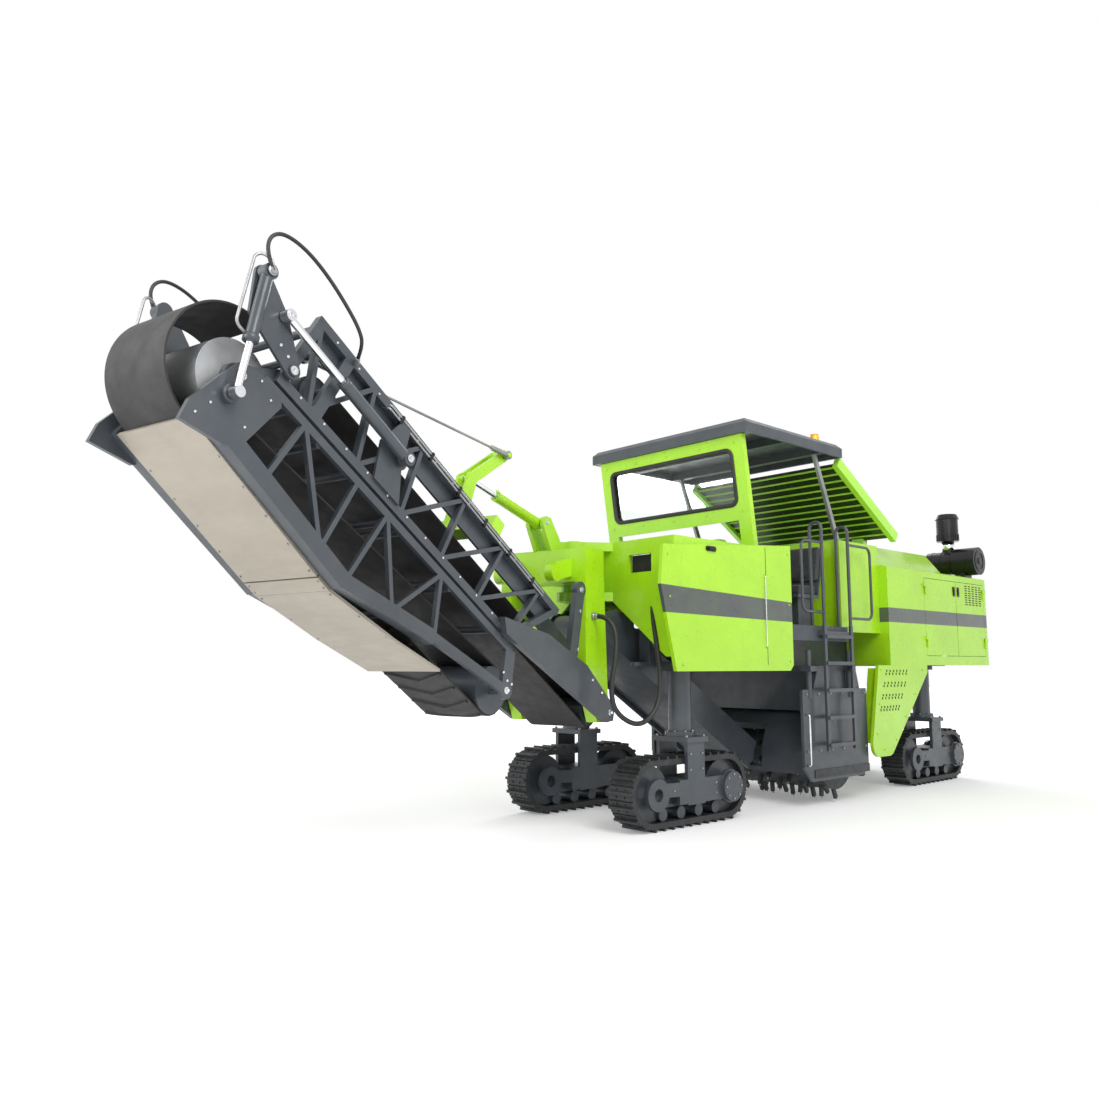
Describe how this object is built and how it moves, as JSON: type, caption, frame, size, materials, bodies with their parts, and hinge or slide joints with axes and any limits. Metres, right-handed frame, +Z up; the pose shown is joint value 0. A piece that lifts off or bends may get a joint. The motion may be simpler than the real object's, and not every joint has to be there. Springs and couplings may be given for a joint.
{
  "type": "cold planer milling machine",
  "caption": "Road milling machine on steered crawlers with a drum housing, operator canopy and a folding front-loading discharge conveyor.",
  "frame": {"origin": "middle of the bounding box on the ground plane, with the conveyor folded and slewed as built", "axes": "+X forward in the direction of travel, towards the discharge conveyor; +Y to the machine's left; +Z up"},
  "size_m": [11.9879, 2.8669, 4.32],
  "materials": {
    "body_green": "gloss paint",
    "slate_grey": "satin paint",
    "cover_beige": "satin paint",
    "steel_rod": "polished",
    "raw_steel": "rolled",
    "belt_rubber": "cleated rubber",
    "black_plastic": "moulded",
    "seat_fabric": "woven",
    "clear_glass": "clear",
    "amber_lens": "clear amber",
    "engine_iron": "painted"
  },
  "bodies": {
    "machine": {"chassis_frame": "slate_grey", "chassis_beams": "slate_grey", "leg_sleeves": "slate_grey", "engine_block": "engine_iron", "platform_deck": "slate_grey", "front_box": "body_green", "hood_shell": "body_green", "tank_box": "body_green", "louvre_wall": "body_green", "canopy_roof": "slate_grey", "windshield_frame": "body_green", "windshield_glass": "clear_glass", "canopy_posts": "raw_steel", "operator_seats": "slate_grey", "seat_pads": "seat_fabric", "control_console": "body_green", "air_filter": "black_plastic", "beacon": "amber_lens", "drum_housing": "slate_grey", "pickup_conveyor": "slate_grey", "side_panel_left": "body_green", "side_panel_right": "body_green", "lower_cover_left": "body_green", "lower_cover_right": "body_green", "ladder_left": "slate_grey", "ladder_right": "slate_grey"},
    "crawler_front_left": {"track_loop_front_left": "slate_grey", "track_frame_front_left": "slate_grey"},
    "crawler_front_right": {"track_loop_front_right": "slate_grey", "track_frame_front_right": "slate_grey"},
    "crawler_rear_left": {"track_loop_rear_left": "slate_grey", "track_frame_rear_left": "slate_grey"},
    "crawler_rear_right": {"track_loop_rear_right": "slate_grey", "track_frame_rear_right": "slate_grey"},
    "milling_rotor": {"milling_drum": "raw_steel"},
    "scraper": {"moldboard": "raw_steel"},
    "edge_guard_left": {"side_plate_left": "slate_grey"},
    "edge_guard_right": {"side_plate_right": "slate_grey"},
    "middle_door_l": {"middle_door_left": "body_green"},
    "middle_door_r": {"middle_door_right": "body_green"},
    "rear_door_l": {"rear_door_left": "body_green"},
    "rear_door_r": {"rear_door_right": "body_green"},
    "turret": {"slew_turret": "body_green"},
    "luff_cylinder": {"luff_barrel": "body_green"},
    "luff_piston": {"luff_rod": "steel_rod"},
    "inner_conveyor": {"inner_frame": "slate_grey", "inner_belt": "belt_rubber", "side_boards": "slate_grey", "king_post": "body_green", "pendant_rope": "raw_steel", "belt_wrap": "belt_rubber"},
    "outer_conveyor": {"outer_frame": "slate_grey", "outer_belt": "belt_rubber", "outer_covers": "cover_beige", "fold_drum": "raw_steel"},
    "kites": {"fold_kites": "slate_grey"},
    "fold_cylinders": {"fold_barrels": "slate_grey"},
    "fold_pistons": {"fold_rods": "steel_rod"},
    "link_cylinders": {"link_barrels": "slate_grey"},
    "link_pistons": {"link_rods": "steel_rod"}
  },
  "joints": [
    {"name": "front_left_steer", "type": "hinge", "parent": "machine", "child": "crawler_front_left", "pos_m": [0.3961, 0.5485, 0.69], "axis": [0, 0, 1], "range_deg": [-25, 25]},
    {"name": "rear_left_steer", "type": "hinge", "parent": "machine", "child": "crawler_rear_left", "pos_m": [-4.6939, 0.5485, 0.69], "axis": [0, 0, 1], "range_deg": [-20, 20]},
    {"name": "front_right_steer", "type": "hinge", "parent": "machine", "child": "crawler_front_right", "pos_m": [0.3961, -0.9515, 0.69], "axis": [0, 0, 1], "range_deg": [-25, 25]},
    {"name": "rear_right_steer", "type": "hinge", "parent": "machine", "child": "crawler_rear_right", "pos_m": [-4.6939, -0.9515, 0.69], "axis": [0, 0, 1], "range_deg": [-20, 20]},
    {"name": "drum_spin", "type": "hinge", "parent": "machine", "child": "milling_rotor", "pos_m": [-2.0539, -0.2015, 0.52], "axis": [0, 1, 0], "continuous": true},
    {"name": "moldboard_lift", "type": "slide", "parent": "machine", "child": "scraper", "axis": [0, 0, 1], "range_m": [-0.2, 0.25]},
    {"name": "side_plate_left_lift", "type": "slide", "parent": "machine", "child": "edge_guard_left", "axis": [0, 0, 1], "range_m": [-0.22, 0.1]},
    {"name": "side_plate_right_lift", "type": "slide", "parent": "machine", "child": "edge_guard_right", "axis": [0, 0, 1], "range_m": [-0.22, 0.1]},
    {"name": "middle_door_l_swing", "type": "hinge", "parent": "machine", "child": "middle_door_l", "pos_m": [-4.0739, 0.9905, 2.19], "axis": [0, 0, -1], "range_deg": [0, 85]},
    {"name": "rear_door_l_swing", "type": "hinge", "parent": "machine", "child": "rear_door_l", "pos_m": [-5.8239, 0.9905, 2.19], "axis": [0, 0, 1], "range_deg": [0, 85]},
    {"name": "middle_door_r_swing", "type": "hinge", "parent": "machine", "child": "middle_door_r", "pos_m": [-4.0739, -1.3935, 2.19], "axis": [0, 0, 1], "range_deg": [0, 85]},
    {"name": "rear_door_r_swing", "type": "hinge", "parent": "machine", "child": "rear_door_r", "pos_m": [-5.8239, -1.3935, 2.19], "axis": [0, 0, -1], "range_deg": [0, 85]},
    {"name": "conveyor_slew", "type": "hinge", "parent": "machine", "child": "turret", "pos_m": [1.1461, -0.2015, 2.5], "axis": [0, 0, 1], "range_deg": [-58, 32]},
    {"name": "conveyor_luff", "type": "hinge", "parent": "turret", "child": "inner_conveyor", "pos_m": [1.37995, -0.14751, 1.11], "axis": [0.225, -0.9744, 0], "range_deg": [-8, 6]},
    {"name": "luff_barrel_swing", "type": "hinge", "parent": "turret", "child": "luff_cylinder", "pos_m": [1.75021, -0.06203, 2.93], "axis": [0.225, -0.9744, 0], "range_deg": [-14.5, 11.1]},
    {"name": "luff_rod_slide", "type": "slide", "parent": "luff_cylinder", "child": "luff_piston", "axis": [0.9431, 0.2177, 0.2513], "range_m": [-0.178, 0.235]},
    {"name": "conveyor_fold", "type": "hinge", "parent": "inner_conveyor", "child": "outer_conveyor", "pos_m": [5.48205, 0.79953, 3.32], "axis": [0.225, -0.9744, 0], "range_deg": [0, 177], "deforming": ["belt_wrap"]},
    {"name": "kite_swing", "type": "hinge", "parent": "inner_conveyor", "child": "kites", "pos_m": [5.13127, 0.71855, 3.44], "axis": [0.225, -0.9744, 0], "range_deg": [-1, 45.2]},
    {"name": "link_barrel_swing", "type": "hinge", "parent": "kites", "child": "link_cylinders", "pos_m": [5.38461, 0.77704, 4], "axis": [0.225, -0.9744, 0], "range_deg": [-11.4, 1]},
    {"name": "link_rod_slide", "type": "slide", "parent": "link_cylinders", "child": "link_pistons", "axis": [0.2199, 0.0508, -0.9742], "range_m": [-0.08, 0.005]},
    {"name": "fold_barrel_swing", "type": "hinge", "parent": "inner_conveyor", "child": "fold_cylinders", "pos_m": [4.14716, 0.49135, 3.04], "axis": [0.225, -0.9744, 0], "range_deg": [-1, 7.6]},
    {"name": "fold_rod_slide", "type": "slide", "parent": "fold_cylinders", "child": "fold_pistons", "axis": [0.8119, 0.1874, 0.553], "range_m": [-0.22, 0.005]}
  ],
  "couplings": [
    {"joint": "front_right_steer", "follows": "front_left_steer", "ratio": 1},
    {"joint": "rear_right_steer", "follows": "rear_left_steer", "ratio": 1},
    {"joint": "luff_barrel_swing", "follows": "conveyor_luff", "ratio": 1.688},
    {"joint": "luff_rod_slide", "follows": "conveyor_luff", "m_per_rad": -1.6497},
    {"joint": "kite_swing", "follows": "conveyor_fold", "ratio": 0.25},
    {"joint": "link_barrel_swing", "follows": "conveyor_fold", "ratio": -0.0587},
    {"joint": "link_rod_slide", "follows": "conveyor_fold", "m_per_rad": -0.02422},
    {"joint": "fold_barrel_swing", "follows": "conveyor_fold", "ratio": 0.0371},
    {"joint": "fold_rod_slide", "follows": "conveyor_fold", "m_per_rad": -0.06974}
  ]
}
